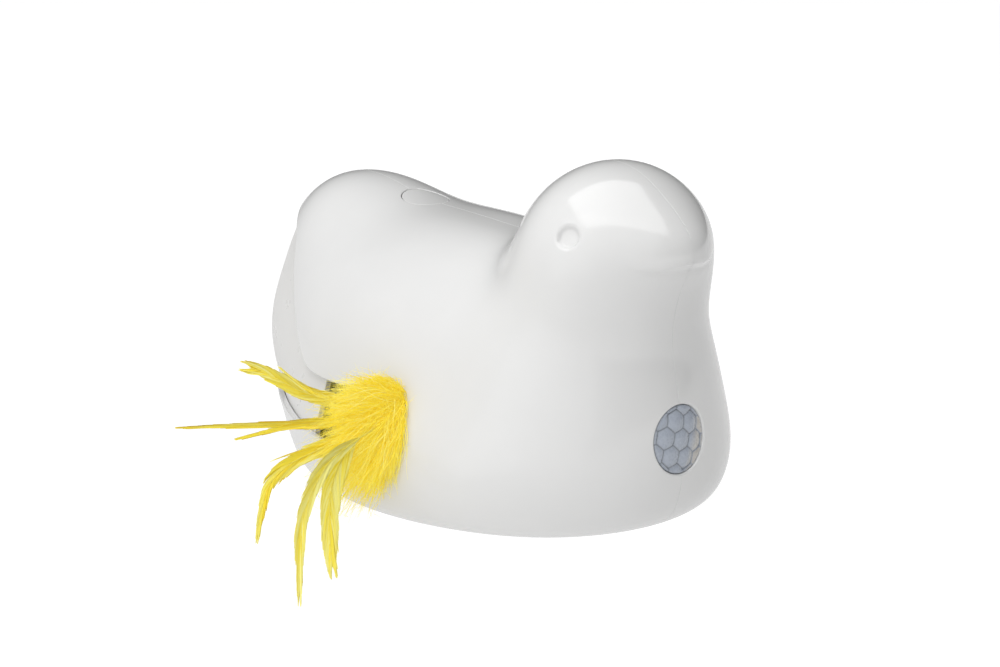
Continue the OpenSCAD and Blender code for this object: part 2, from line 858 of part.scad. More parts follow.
// A smooth curve through hand-chosen points
function smooth_step(a, b, c, d, t) =
    0.5 * (2 * b + (c - a) * t + (2 * a - 5 * b + 4 * c - d) * t * t + (3 * b - 3 * c + d - a) * t * t * t);
function smooth_path(p, steps) =
    let (n = len(p) - 1)
    concat([for (i = [0:n - 1]) for (s = [0:steps - 1])
        smooth_step(p[max(i - 1, 0)], p[i], p[i + 1], p[min(i + 2, n)], s / steps)], [p[n]]);

module leads(route, colour) {
    for (side = [-0.75, 0.75])
        color(colour)
            tube([for (p = smooth_path(route, 4)) p + [0.3 * side, side, 0]], 0.6, 8);
}

module motor_leads() {
    leads(motor_route, "firebrick");
}

module battery_leads() {
    leads(battery_route, "firebrick");
}

module sensor_leads() {
    leads(sensor_route, "dimgray");
}

module button_leads() {
    leads(button_route, "dimgray");
}

function bent(p, t) = p[0] * (1 - t) * (1 - t) + p[1] * 2 * t * (1 - t) + p[2] * t * t;

module plume(i) {
    steps = 14;
    p = plumes[i];
    path = [for (s = [0:steps]) bent(p, s / steps)];
    halves = [for (s = [0:steps]) let (t = s / steps) [0.6 + p[3] / 2 * sin(180 * pow(t, 0.8)), 0.5 + sin(180 * t)]];
    color("gold") sweep(path, halves, 8);
}

module plume_1() {
    plume(0);
}

module plume_2() {
    plume(1);
}

module plume_3() {
    plume(2);
}

module plume_4() {
    plume(3);
}

module plume_5() {
    plume(4);
}

module feather_stem() {
    start = [output_at.x, output_at.y, wand_z] + (wand_reach - 9.5) * [cos(wand_angle), sin(wand_angle), 0];
    bend = start + 14 * [cos(wand_angle), sin(wand_angle), 0];
    path = [for (t = [0:0.125:1]) bent([start, bend, stem_end], t)];
    color("khaki") tube(path, 1.1, 8);
}

module feather_fluff() {
    color("gold")
        translate(fluff_at) rotate([0, 0, -30])
            resize(2 * fluff_r) sphere(10, $fn = 20);
}

shell_right();
shell_left();
rear_cover();
base_plate();
rubber_feet();
base_screws();
battery_tray();
battery_cells();
contact_plates();
contact_springs();
battery_door();
battery_door_screw();
pir_lens();
lens_retainer();
sensor_shroud();
pir_sensor();
pir_board();
power_button();
button_spring();
button_carrier();
button_board();
button_switch();
control_board();
control_chip();
capacitors();
board_connectors();
board_screws();
gearbox_base();
gearbox_cover();
gearbox_screws();
leg_screws();
gear_pins();
shaft_bushes();
motor();
motor_shaft();
motor_pinion();
reduction_gear_1();
reduction_gear_2();
output_gear();
output_shaft();
wand_hub();
wand_arm();
wand_screw();
feather_ferrule();
feather_stem();
feather_fluff();
plume_1();
plume_2();
plume_3();
plume_4();
plume_5();
motor_leads();
battery_leads();
sensor_leads();
button_leads();
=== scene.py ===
"""A white moulded plastic bird: a battery toy that sweeps a wand of yellow feathers out of its side.

The frame is in metres. The shape functions below work in millimetres, as the CAD source does.
"""

import math

import bpy
import numpy as np
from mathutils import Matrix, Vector


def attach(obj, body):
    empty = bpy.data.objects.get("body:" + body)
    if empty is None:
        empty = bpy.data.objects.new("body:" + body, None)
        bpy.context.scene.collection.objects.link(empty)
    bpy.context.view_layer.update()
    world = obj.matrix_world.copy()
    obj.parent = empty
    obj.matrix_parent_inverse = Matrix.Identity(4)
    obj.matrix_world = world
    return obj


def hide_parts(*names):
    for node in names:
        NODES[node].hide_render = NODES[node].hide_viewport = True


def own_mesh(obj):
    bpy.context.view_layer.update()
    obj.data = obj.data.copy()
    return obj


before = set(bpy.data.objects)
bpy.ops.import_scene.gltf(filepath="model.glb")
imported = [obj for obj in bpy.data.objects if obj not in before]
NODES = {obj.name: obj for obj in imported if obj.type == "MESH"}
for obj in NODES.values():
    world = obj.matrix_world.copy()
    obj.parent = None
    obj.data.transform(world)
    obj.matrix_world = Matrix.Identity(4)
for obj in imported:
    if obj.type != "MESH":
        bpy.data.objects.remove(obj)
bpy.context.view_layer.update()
MM = 0.001
rng = np.random.default_rng(7)

# ---------------------------------------------------------------- camera

LOOK_AT = Vector((0, 0, 0.060))
CAMERA_TURN, CAMERA_LIFT, CAMERA_DISTANCE = 48.0, 14.0, 0.900


def from_view(turn, lift, distance, target=LOOK_AT):
    """The point at a distance from the target, seen from a view direction."""
    a, e = math.radians(turn), math.radians(lift)
    way = Vector((math.sin(a) * math.cos(e), -math.cos(a) * math.cos(e), math.sin(e)))
    return target + distance * way


def aim(obj, target):
    obj.rotation_euler = (target - obj.location).to_track_quat("-Z", "Y").to_euler()


camera_data = bpy.data.cameras.new("camera")
camera_data.sensor_width = 36
camera_data.lens = 89.4
camera_data.shift_x = 0.0146
camera_data.shift_y = -0.0169
camera_data.clip_end = 50
camera = bpy.data.objects.new("camera", camera_data)
bpy.context.scene.collection.objects.link(camera)
camera.location = from_view(CAMERA_TURN, CAMERA_LIFT, CAMERA_DISTANCE)
aim(camera, LOOK_AT)
bpy.context.scene.camera = camera

# ---------------------------------------------------------------- materials


def set_range(node, start, end, low, high):
    """Makes a Map Range node turn start..end into low..high."""
    for socket, value in zip(("From Min", "From Max", "To Min", "To Max"), (start, end, low, high)):
        node.inputs[socket].default_value = value


class Nodes:
    """Builds one procedural material."""

    def __init__(self, name, color, roughness=0.4, metallic=0.0, **sockets):
        self.material = bpy.data.materials.new(name)
        self.material.use_nodes = True
        self.tree = self.material.node_tree
        self.shader = self.tree.nodes["Principled BSDF"]
        self.set(self.shader, "Base Color", (*color, 1))
        self.set(self.shader, "Roughness", roughness)
        self.set(self.shader, "Metallic", metallic)
        for key, value in sockets.items():
            self.set(self.shader, key.replace("_", " "), value)
        self.coords = self.tree.nodes.new("ShaderNodeTexCoord").outputs["Object"]

    @staticmethod
    def set(node, socket, value):
        node.inputs[socket].default_value = value

    def link(self, a, b):
        self.tree.links.new(a, b)

    def noise(self, scale, detail=3.0, stretch=None, rough=0.55):
        node = self.tree.nodes.new("ShaderNodeTexNoise")
        self.set(node, "Scale", scale)
        self.set(node, "Detail", detail)
        self.set(node, "Roughness", rough)
        source = self.coords
        if stretch:
            mapping = self.tree.nodes.new("ShaderNodeMapping")
            self.set(mapping, "Scale", stretch)
            self.link(source, mapping.inputs["Vector"])
            source = mapping.outputs["Vector"]
        self.link(source, node.inputs["Vector"])
        return node.outputs["Fac"]

    def cells(self, scale):
        """Distance to the nearest edge between random cells."""
        node = self.tree.nodes.new("ShaderNodeTexVoronoi")
        node.feature = "DISTANCE_TO_EDGE"
        self.set(node, "Scale", scale)
        self.link(self.coords, node.inputs["Vector"])
        return node.outputs["Distance"]

    def ramp(self, fac, stops):
        node = self.tree.nodes.new("ShaderNodeValToRGB")
        ends = node.color_ramp.elements
        while len(ends) < len(stops):
            ends.new(0.5)
        for element, (place, color) in zip(ends, stops):
            element.position = place
            element.color = (*color, 1)
        self.link(fac, node.inputs["Fac"])
        return node.outputs["Color"]

    def spread(self, fac, low, high, start=0.3, end=0.7):
        node = self.tree.nodes.new("ShaderNodeMapRange")
        set_range(node, start, end, low, high)
        self.link(fac, node.inputs["Value"])
        return node.outputs["Result"]

    def attribute(self, name):
        node = self.tree.nodes.new("ShaderNodeAttribute")
        node.attribute_name = name
        return node.outputs["Fac"]

    def color(self, output):
        self.link(output, self.shader.inputs["Base Color"])

    def roughness(self, output):
        self.link(output, self.shader.inputs["Roughness"])

    def bump(self, height, distance, strength=1.0):
        node = self.tree.nodes.new("ShaderNodeBump")
        self.set(node, "Strength", strength)
        self.set(node, "Distance", distance)
        self.link(height, node.inputs["Height"])
        previous = self.shader.inputs["Normal"].links
        if previous:
            self.link(previous[0].from_socket, node.inputs["Normal"])
        self.link(node.outputs["Normal"], self.shader.inputs["Normal"])


def shades(color, low, high):
    return [tuple(c * k for c in color) for k in (low, high)]


def plastic(name, color, gloss, peel=0.00002, vary=0.03, mottle=45, **sockets):
    """Moulded plastic: slight flow marks in colour and gloss, and a faint orange peel."""
    m = Nodes(name, color, gloss, IOR=1.49, **sockets)
    flow = m.noise(mottle, 4)
    m.color(m.ramp(flow, list(zip((0.3, 0.7), shades(color, 1 - vary, 1 + vary / 2)))))
    m.roughness(m.spread(m.noise(mottle * 3, 5), gloss * 0.85, gloss * 1.25))
    if peel:
        m.bump(m.noise(700, 2), peel, 0.6)
    return m.material


def metal(name, color, gloss, grain=(1, 1, 1), scale=900):
    """Drawn or turned metal: fine lines along one way, and dull spots."""
    m = Nodes(name, color, gloss, 1.0)
    m.color(m.ramp(m.noise(120, 5), list(zip((0.35, 0.65), shades(color, 0.88, 1.04)))))
    m.roughness(m.spread(m.noise(scale, 3, grain), gloss * 0.75, gloss * 1.5))
    m.bump(m.noise(scale * 2, 2, grain), 0.00001, 0.5)
    return m.material


white_gloss = plastic("white_gloss", (0.80, 0.80, 0.795), 0.16, vary=0.015,
                      Coat_Weight=0.5, Coat_Roughness=0.07)
cover_white = plastic("cover_white", (0.78, 0.775, 0.76), 0.3, peel=0, vary=0.01)
base_white = plastic("base_white", (0.75, 0.745, 0.73), 0.42, peel=0.00006)
wand_white = plastic("wand_white", (0.74, 0.73, 0.70), 0.4, peel=0.00005)
gearbox_grey = plastic("gearbox_grey", (0.42, 0.42, 0.41), 0.5, peel=0.00008, vary=0.06)
ivory_plastic = plastic("ivory_plastic", (0.76, 0.70, 0.55), 0.38, vary=0.05)
dark_plastic = plastic("dark_plastic", (0.028, 0.028, 0.03), 0.45, peel=0.00006, vary=0.2)
foot_rubber = plastic("foot_rubber", (0.075, 0.075, 0.08), 0.75, peel=0.00012, vary=0.2)
capacitor_sleeve = plastic("capacitor_sleeve", (0.02, 0.035, 0.12), 0.3, vary=0.15)
lead_red = plastic("lead_red", (0.50, 0.03, 0.025), 0.42, vary=0.12)
lead_grey = plastic("lead_grey", (0.20, 0.20, 0.21), 0.42, vary=0.12)
steel = metal("steel", (0.60, 0.60, 0.61), 0.3, (1, 1, 12))
brass = metal("brass", (0.72, 0.52, 0.22), 0.3, (1, 1, 10))


def board_material():
    """Solder mask over copper tracks, which show as paler raised lines."""
    m = Nodes("circuit_board", (0.02, 0.16, 0.07), 0.35, IOR=1.5, Coat_Weight=0.3)
    tracks = m.cells(330)
    m.color(m.ramp(tracks, [(0.0, (0.06, 0.30, 0.13)), (0.09, (0.05, 0.27, 0.11)),
                            (0.12, (0.015, 0.13, 0.055))]))
    m.bump(m.spread(tracks, 1, 0, 0.08, 0.14), 0.00004)
    m.bump(m.noise(1500, 2), 0.00001, 0.5)
    return m.material


def wrap_material():
    """A printed battery sleeve: copper-coloured at one end, dark along the rest."""
    m = Nodes("cell_wrap", (0.05, 0.05, 0.055), 0.28, 0.3, Coat_Weight=0.4)
    parts = m.tree.nodes.new("ShaderNodeSeparateXYZ")
    m.link(m.coords, parts.inputs["Vector"])
    m.color(m.ramp(m.spread(parts.outputs["Y"], 0, 1, -0.025, 0.025),
                   [(0.0, (0.55, 0.30, 0.12)), (0.27, (0.52, 0.28, 0.11)), (0.29, (0.03, 0.03, 0.035)),
                    (1.0, (0.04, 0.04, 0.045))]))
    m.roughness(m.spread(m.noise(300, 4), 0.2, 0.38))
    m.bump(m.noise(500, 3), 0.00002, 0.5)
    return m.material


def lens_material():
    """Milky moulded sheet with a cool tint. Its colour comes from a point value and holds painted shade: dark
    in the creases between the lens cells and in a ring at the rim.
    """
    m = Nodes("lens_plastic", (0.50, 0.53, 0.57), 0.27, IOR=1.5, Subsurface_Weight=0.12,
              Subsurface_Radius=(0.002, 0.002, 0.0025), Coat_Weight=0.3, Coat_Roughness=0.12)
    m.color(m.ramp(m.attribute("cell"), [(0.0, (0.20, 0.22, 0.25)), (0.3, (0.36, 0.39, 0.44)),
                                         (0.6, (0.43, 0.47, 0.54)), (1.0, (0.57, 0.55, 0.52))]))
    m.roughness(m.spread(m.noise(900, 3), 0.2, 0.36))
    m.bump(m.noise(2500, 2), 0.00001, 0.5)
    return m.material


def quill_material():
    m = Nodes("quill", (0.88, 0.72, 0.24), 0.35, IOR=1.54, Subsurface_Weight=0.2,
              Subsurface_Radius=(0.003, 0.002, 0.001))
    m.color(m.ramp(m.noise(260, 4, (1, 1, 0.3)), [(0.3, (0.84, 0.62, 0.12)), (0.7, (0.93, 0.80, 0.36))]))
    m.bump(m.noise(1800, 3), 0.00003, 0.6)
    return m.material


def feather_material():
    """Dyed barbs. "tone" runs from deep to pale. The dye colour is also emitted, at a strength given for each
    point: a painted glow that brightens the down where its fibres shade each other, in place of light passing
    through them.
    """
    m = Nodes("feather_yellow", (0.90, 0.68, 0.03), 0.55, IOR=1.5, Sheen_Weight=0.25, Sheen_Roughness=0.4)
    dye = m.ramp(m.attribute("tone"), [(0.0, (0.84, 0.58, 0.008)), (0.3, (0.92, 0.70, 0.016)),
                                       (0.65, (0.95, 0.80, 0.045)), (1.0, (0.97, 0.91, 0.26))])
    m.color(dye)
    # painted glow: the fibres emit their own dye colour
    m.link(dye, m.shader.inputs["Emission Color"])
    m.link(m.attribute("painted_glow"), m.shader.inputs["Emission Strength"])
    m.roughness(m.spread(m.noise(700, 3), 0.42, 0.7))
    return m.material


circuit_board = board_material()
cell_wrap = wrap_material()
lens_plastic = lens_material()
quill = quill_material()
feather_yellow = feather_material()
FINISHES = {m.name: m for m in (
    white_gloss, cover_white, base_white, wand_white, gearbox_grey, ivory_plastic, dark_plastic, foot_rubber,
    capacitor_sleeve, lead_red, lead_grey, steel, brass, circuit_board, cell_wrap, lens_plastic, quill,
    feather_yellow)}

# ---------------------------------------------------------------- outer form, as in the CAD source

# Each lobe is x, z, half length, half width, half height, tilt in degrees
TRUNK = [
    (-7, 45.5, 99, 56, 52.5, 0),
    (55.5, 41, 30.5, 45, 51.5, 0),
    (-52.5, 66.5, 46, 32.5, 33, -33.5),
    (11, 18, 83, 70.5, 43, 0),
]
HEAD = [
    (65.5, 92, 28, 35.5, 33, 0),
    (79.5, 103, 19.5, 14.5, 10, -7.5),
]
DISH = (-2, 121, 62, 20, 19, -8)
LOBE_BLEND, DISH_BLEND, BASE_BLEND, BASE_Z = 0.16, 0.3, 0.35, 1.5
# Rays to the skin start at CORE, and up to CORE_SLIDE further along the body
CORE, CORE_SLIDE = np.array([20, 0, 45.0]), np.array([60.0, 0, 0])
RAY_NEAR, RAY_FAR, RAY_HALVINGS = 10.0, 150.0, 22
WALL = 2.2
COVER_DEPTH, COVER_WALL = 2.5, 2.0
FAR = 99.0

# Recess under the wing in the side view: its lip from the opening to the tail, then the opening's front end
LIP = [(4, 46.5), (-8, 44.3), (-26, 44), (-35, 46), (-42, 52), (-50, 61), (-61, 72), (-72, 83), (-86, 91)]
OPENING_X, OPENING_Z, OPENING_R = 16, 37, 12
COVER_FRONT_X, COVER_LAP = -20, 3
LENS_Z, LENS_R, LENS_X, DOME_R, LENS_GAP = 35.6, 11.8, 99.1, 45.0, 0.2
BUTTON_AT, BUTTON_SLOPE, BUTTON_R, BUTTON_GAP = np.array([-33, 0, 98.9]), math.radians(7), 8.7, 0.25
EYE = np.array([75.4, 31.4, 106.1])
BASE_MIDDLE, BASE_HALF, BASE_CORNER, BASE_GAP = 14, (32, 16), 24, 0.2
# Each hole is looked for on its own side of the body only
LENS_SIDE_X, BUTTON_SIDE_Z, BASE_SIDE_Z = 60, 70, 20


def lobe_gap(p, lobe):
    x, z, a, b, c, tilt = lobe
    cos, sin = math.cos(math.radians(tilt)), math.sin(math.radians(tilt))
    dx, dz = p[:, 0] - x, p[:, 2] - z
    u, w = dx * cos + dz * sin, dz * cos - dx * sin
    return (np.sqrt((u / a) ** 2 + (p[:, 1] / b) ** 2 + (w / c) ** 2) - 1) * min(a, b, c)


def smooth_max(a, b, k):
    m = np.maximum(a, b)
    return m + np.log(np.exp(k * (a - m)) + np.exp(k * (b - m))) / k


def joined(gaps):
    return -np.log(sum(np.exp(-LOBE_BLEND * g) for g in gaps)) / LOBE_BLEND


def body_gap(p):
    """Roughly how far outside the skin a point is. The dish is taken out of the trunk only."""
    trunk = smooth_max(joined([lobe_gap(p, e) for e in TRUNK]), -lobe_gap(p, DISH), DISH_BLEND)
    return smooth_max(joined([trunk] + [lobe_gap(p, e) for e in HEAD]), BASE_Z - p[:, 2], BASE_BLEND)


def gradient(field, p, step=0.02):
    out = np.empty_like(p)
    for k in range(3):
        q = np.zeros(3)
        q[k] = step
        out[:, k] = (field(p + q) - field(p - q)) / (2 * step)
    return out


def unit(v):
    return v / np.maximum(np.linalg.norm(v, axis=-1, keepdims=True), 1e-12)


def to_skin(p, rounds=3):
    for _ in range(rounds):
        g = gradient(body_gap, p)
        p = p - (body_gap(p) / (g * g).sum(1))[:, None] * g
    return p


def skin_normal(p):
    return unit(gradient(body_gap, p))


# ---------------------------------------------------------------- outlines that trim the skin

def curve_through(points, steps):
    """Points on a smooth curve through the given ones."""
    p = np.array(points, float)
    out = []
    for i in range(len(p) - 1):
        a, b, c, d = p[max(i - 1, 0)], p[i], p[i + 1], p[min(i + 2, len(p) - 1)]
        for s in range(steps):
            t = s / steps
            out.append(0.5 * (2 * b + (c - a) * t + (2 * a - 5 * b + 4 * c - d) * t * t
                              + (3 * b - 3 * c + d - a) * t ** 3))
    return np.array(out + [p[-1]])


def window_outline():
    turn = np.radians(np.arange(-90, 91, 6))
    nose = np.stack([OPENING_X + OPENING_R * np.cos(turn), OPENING_Z + OPENING_R * np.sin(turn)], 1)
    edge = curve_through([tuple(nose[-1])] + LIP + [(-100, 94)], 5)
    return np.concatenate([[[-140, OPENING_Z - OPENING_R]], nose[:-1], edge, [[-140, 95]]])


WINDOW = window_outline()


def window_distance(p):
    """Signed distance in the side view to the recess outline, positive outside it."""
    q = p[:, [0, 2]]
    best = np.full(len(q), 1e9)
    inside = np.zeros(len(q), bool)
    for a, b in zip(WINDOW, np.roll(WINDOW, -1, 0)):
        ab, aq = b - a, q - a
        t = np.clip(aq @ ab / (ab @ ab), 0, 1)
        best = np.minimum(best, ((aq - t[:, None] * ab) ** 2).sum(1))
        if a[1] != b[1]:
            crosses = (a[1] > q[:, 1]) != (b[1] > q[:, 1])
            inside ^= crosses & (q[:, 0] < a[0] + (q[:, 1] - a[1]) / (b[1] - a[1]) * (b[0] - a[0]))
    return np.sqrt(best) * np.where(inside, -1, 1)


def lens_distance(p):
    return np.where(p[:, 0] > LENS_SIDE_X, np.hypot(p[:, 1], p[:, 2] - LENS_Z) - LENS_R - LENS_GAP, FAR)


def button_distance(p, grow=BUTTON_GAP):
    up = np.array([math.sin(BUTTON_SLOPE), 0, math.cos(BUTTON_SLOPE)])
    d = p - BUTTON_AT
    across = d - (d @ up)[:, None] * up
    return np.where(p[:, 2] > BUTTON_SIDE_Z, np.linalg.norm(across, axis=1) - BUTTON_R - grow, FAR)


def base_distance(p):
    a = np.abs(p[:, 0] - BASE_MIDDLE) - BASE_HALF[0]
    b = np.abs(p[:, 1]) - BASE_HALF[1]
    d = np.hypot(np.maximum(a, 0), np.maximum(b, 0)) + np.minimum(np.maximum(a, b), 0)
    return np.where(p[:, 2] < BASE_SIDE_Z, d - BASE_CORNER - BASE_GAP, FAR)


# ---------------------------------------------------------------- trimmed shells

FILLET = (1.0, 0.6, 0.3, 0.1)
SNAP, FILLET_SNAP = 0.15, 0.03
DENT_STEP, LEAST_WALL = 0.03, 0.8
# Lines of the mesh, in degrees around and up from the core: closer across the eyes and under the beak
STEP, QUICK_STEP = 1.1, 2.0
EYE_TURNS, EYE_BAND = (45.5, 314.5), np.arange(-6.6, 6.61, 0.3)
FOLD_LIFTS = np.arange(47, 59, 0.2)
BAND_GAP = 0.3


class Skin:
    """A triangle mesh on the skin that is trimmed by distance fields, then given rounded edges and a wall."""

    def __init__(self, depth=0.0):
        self.depth = depth
        self.edges = []
        step = STEP
        turns = self.lines(0, 360, step, [turn + EYE_BAND for turn in EYE_TURNS])
        lifts = self.lines(-90, 90, step, [FOLD_LIFTS])[1:-1]
        t, l = np.radians(turns), np.radians(lifts)
        dirs = np.stack([np.outer(np.cos(l), np.cos(t)), np.outer(np.cos(l), np.sin(t)),
                         np.outer(np.sin(l), np.ones_like(t))], -1).reshape(-1, 3)
        dirs = np.concatenate([dirs, [[0, 0, -1], [0, 0, 1]]])
        # a ray starts further along the body the more it points that way, so that it meets the skin once
        start = CORE + dirs[:, :1] * CORE_SLIDE
        low, high = np.full(len(dirs), RAY_NEAR), np.full(len(dirs), RAY_FAR)
        for _ in range(RAY_HALVINGS):
            mid = (low + high) / 2
            inside = body_gap(start + dirs * mid[:, None]) < 0
            low, high = np.where(inside, mid, low), np.where(inside, high, mid)
        self.p = to_skin(start + dirs * low[:, None], 2)
        n, rows = len(t), len(l)
        i, j = np.meshgrid(np.arange(rows - 1), np.arange(n), indexing="ij")
        a, b = i * n + j, i * n + (j + 1) % n
        c, d = a + n, b + n
        faces = [np.stack([a, b, d], -1).reshape(-1, 3), np.stack([a, d, c], -1).reshape(-1, 3)]
        j = np.arange(n)
        last = (rows - 1) * n
        faces.append(np.stack([np.full(n, rows * n), (j + 1) % n, j], 1))
        faces.append(np.stack([np.full(n, rows * n + 1), last + j, last + (j + 1) % n], 1))
        self.f = np.concatenate(faces)
        self.locked = np.zeros(len(self.p), bool)

    @staticmethod
    def lines(start, end, step, bands):
        """Even steps, with the finer bands put in. A full turn leaves out its end, which is its start."""
        even = (end - start) / round((end - start) / step)
        found = np.arange(start, end if end == 360 else end + 1e-6, even)
        for band in bands:
            found = found[(found < band[0] - BAND_GAP) | (found > band[-1] + BAND_GAP)]
            found = np.concatenate([found, band])
        return np.sort(found)

    def at(self, p, depth):
        return p - skin_normal(p) * depth if np.any(depth) else p

    def distance(self, field, p):
        """Distance along the skin to where the field is zero."""
        q = self.at(p, self.depth)
        g = gradient(field, q, 0.05)
        n = skin_normal(p)
        across = g - (g * n).sum(1)[:, None] * n
        return field(q) / np.clip(np.linalg.norm(across, axis=1), 0.35, 1.5), unit(across)

    def split(self, field, level, drop, snap):
        """Puts points along the line where the field has this level, and drops the side below it if asked."""
        d, way = self.distance(field, self.p)
        d = d - level
        near = (np.abs(d) < snap) & ~self.locked
        if near.any():
            self.p[near] = to_skin(self.p[near] - d[near, None] * way[near], 1)
            self.locked[near] = True
            d[near] = 0
        d[np.abs(d) < 1e-3] = 0
        sign = np.sign(d).astype(int)
        f = self.f
        s = sign[f]
        crossing = np.stack([s[:, k] * s[:, (k + 1) % 3] < 0 for k in range(3)], 1)
        whole = ~crossing.any(1)
        out, side = [f[whole]], [np.where(s[whole].sum(1) >= 0, 1, -1)]
        # every crossed edge gets one new point
        count = len(self.p)
        ends = np.concatenate([np.sort(f[crossing[:, k]][:, [k, (k + 1) % 3]], 1) for k in range(3)])
        keys, first = np.unique(ends[:, 0] * count + ends[:, 1], return_index=True)
        ends = ends[first]
        if len(ends):
            a, b = self.p[ends[:, 0]], self.p[ends[:, 1]]
            da, db = d[ends[:, 0]], d[ends[:, 1]]
            low, high = np.zeros(len(a)), np.ones(len(a))
            t = da / (da - db)
            for _ in range(3):
                q = to_skin(a + (b - a) * t[:, None], 1)
                dq = self.distance(field, q)[0] - level
                same = dq * da > 0
                low, high = np.where(same, t, low), np.where(same, high, t)
                da, db = np.where(same, dq, da), np.where(same, db, dq)
                t = np.clip(low + (high - low) * da / np.where(da == db, 1, da - db), 0.001, 0.999)
            self.p = np.concatenate([self.p, to_skin(a + (b - a) * t[:, None], 2)])
            self.locked = np.concatenate([self.locked, np.ones(len(ends), bool)])

        def new(u, v):
            return count + np.searchsorted(keys, np.minimum(u, v) * count + np.maximum(u, v))

        for k in range(3):
            a, b, c = f[:, k], f[:, (k + 1) % 3], f[:, (k + 2) % 3]
            # one corner on its own side
            m = crossing[:, k] & crossing[:, (k + 2) % 3]
            a1, b1, c1 = a[m], b[m], c[m]
            ab, ac = new(a1, b1), new(a1, c1)
            out += [np.stack(x, 1) for x in ((a1, ab, ac), (ab, b1, c1), (ab, c1, ac))]
            side += [sign[a1], sign[b1], sign[b1]]
            # a corner on the line, and the edge across from it cut
            m = crossing[:, (k + 1) % 3] & (sign[a] == 0)
            a1, b1, c1 = a[m], b[m], c[m]
            bc = new(b1, c1)
            out += [np.stack(x, 1) for x in ((a1, b1, bc), (a1, bc, c1))]
            side += [sign[b1], sign[c1]]
        self.f = np.concatenate(out)
        if drop:
            self.f = self.f[np.concatenate(side) > 0]
            used = np.unique(self.f)
            back = np.full(len(self.p), -1)
            back[used] = np.arange(len(used))
            self.p, self.locked, self.f = self.p[used], self.locked[used], back[self.f]

    def trim(self, field, radius):
        self.split(field, 0, True, SNAP)
        for share in FILLET:
            self.split(field, radius * share, False, radius * FILLET_SNAP)
        self.edges.append((field, radius))

    def fillet(self, p):
        """How deep the rounded edges sink each point, and its normal there."""
        normal = skin_normal(p)
        drop = np.zeros(len(p))
        turned = normal.copy()
        for field, radius in self.edges:
            d, way = self.distance(field, p)
            lean = np.clip(1 - d / radius, 0, 1)
            sink = radius * (1 - np.sqrt(1 - lean * lean))
            deeper = sink > drop
            drop = np.where(deeper, sink, drop)
            face = normal * np.sqrt(1 - lean * lean)[:, None] - way * lean[:, None]
            turned = np.where(deeper[:, None], face, turned)
        return drop, unit(turned)

    def build(self, name, wall, material, dent=None):
        p, f = self.p, self.f
        drop, outer_normal = self.fillet(p)
        base = skin_normal(p)
        if dent is not None:
            def sunk(q):
                return q - skin_normal(q) * dent(q)[:, None]

            moved = np.abs(dent(p)) > 1e-5
            q = p[moved]
            u = unit(np.cross(base[moved], [0.3, 0.5, 0.81]))
            v = np.cross(base[moved], u)
            du, dv = (sunk(to_skin(q + w * DENT_STEP, 1)) - sunk(to_skin(q - w * DENT_STEP, 1))
                      for w in (u, v))
            face = unit(np.cross(du, dv))
            outer_normal[moved] = face * np.sign((face * base[moved]).sum(1))[:, None]
            drop = drop + dent(p)
        outer = p - base * (self.depth + drop)[:, None]
        inner = p - base * (self.depth + np.maximum(wall, drop + LEAST_WALL))[:, None]
        count = len(p)
        loops = np.concatenate([f[:, [0, 1]], f[:, [1, 2]], f[:, [2, 0]]])
        key = loops.min(1) * count + loops.max(1)
        _, index, uses = np.unique(key, return_index=True, return_counts=True)
        rim = loops[index[uses == 1]]
        sides = np.stack([rim[:, 1], rim[:, 0], rim[:, 0] + count, rim[:, 1] + count], 1)
        faces = [tuple(x) for x in f] + [tuple(x[::-1] + count) for x in f] + [tuple(x) for x in sides]
        mesh = bpy.data.meshes.new(name)
        mesh.from_pydata((np.concatenate([outer, inner]) * MM).tolist(), [], faces)
        normals = np.concatenate([outer_normal[f].reshape(-1, 3), -base[f[:, ::-1]].reshape(-1, 3),
                                  outer_normal[sides[:, [0, 1, 1, 0]]].reshape(-1, 3)])
        mesh.shade_smooth()
        mesh.normals_split_custom_set(normals.tolist())
        return finish_piece(name, mesh, material)


def point_values(mesh, name, values):
    mesh.attributes.new(name, "FLOAT", "POINT").data.foreach_set("value", np.asarray(values, np.float32))


def finish_piece(name, mesh, material):
    mesh.materials.append(material)
    obj = bpy.data.objects.new(name, mesh)
    bpy.context.scene.collection.objects.link(obj)
    return obj


def place(obj, body, slot_name, *nodes):
    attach(obj, body)
    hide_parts(*nodes)


EYE_R, EYE_DEEP, EYE_LIP = 3.9, 1.8, 1.1


def eye_dent(p):
    """A round dimple with a soft rim on each side of the head."""
    d = np.linalg.norm(np.abs(p * [0, 1, 0]) + p * [1, 0, 1] - EYE, axis=1)
    bowl = np.sqrt(np.maximum(1 - np.clip(d / EYE_R, 0, 1) ** 2, 0))
    edge = np.clip((EYE_R + EYE_LIP - d) / (2 * EYE_LIP), 0, 1)
    return EYE_DEEP * edge * edge * (3 - 2 * edge) * (0.55 + 0.45 * bowl)


# Height of the fold under the beak across the face, then how far its lip stands out and its crease goes in
FOLD_Y, FOLD_Z = [0, 5, 10, 14.5, 17, 21, 26], [97.1, 96.6, 96.1, 96.0, 96.4, 97.5, 99.5]
FOLD_OUT, FOLD_IN = 0.5, 0.35
FOLD_END_Y, FOLD_FADE, FOLD_FRONT_X, FOLD_REACH = 22, 12, 80, 8
LIP_ABOVE, LIP_BELOW, CREASE_AT, CREASE_WIDE = 3.2, 1.2, 2.4, 1.8


def beak_fold(p):
    """A lip along the beak's lower edge with a shallow crease under it, fading out on the cheeks."""
    y = np.sqrt(p[:, 1] ** 2 + 1)
    d = p[:, 2] - np.interp(y, FOLD_Y, FOLD_Z)
    fade = np.clip((FOLD_END_Y - y) / FOLD_FADE, 0, 1)
    fade = fade * fade * (3 - 2 * fade) * (p[:, 0] > FOLD_FRONT_X)
    lip = np.exp(-(d / np.where(d > 0, LIP_ABOVE, LIP_BELOW)) ** 2)
    crease = np.exp(-((d + CREASE_AT) / CREASE_WIDE) ** 2)
    return fade * (FOLD_IN * crease - FOLD_OUT * lip) * (np.abs(d) < FOLD_REACH)


def face_relief(p):
    return eye_dent(p) + beak_fold(p)


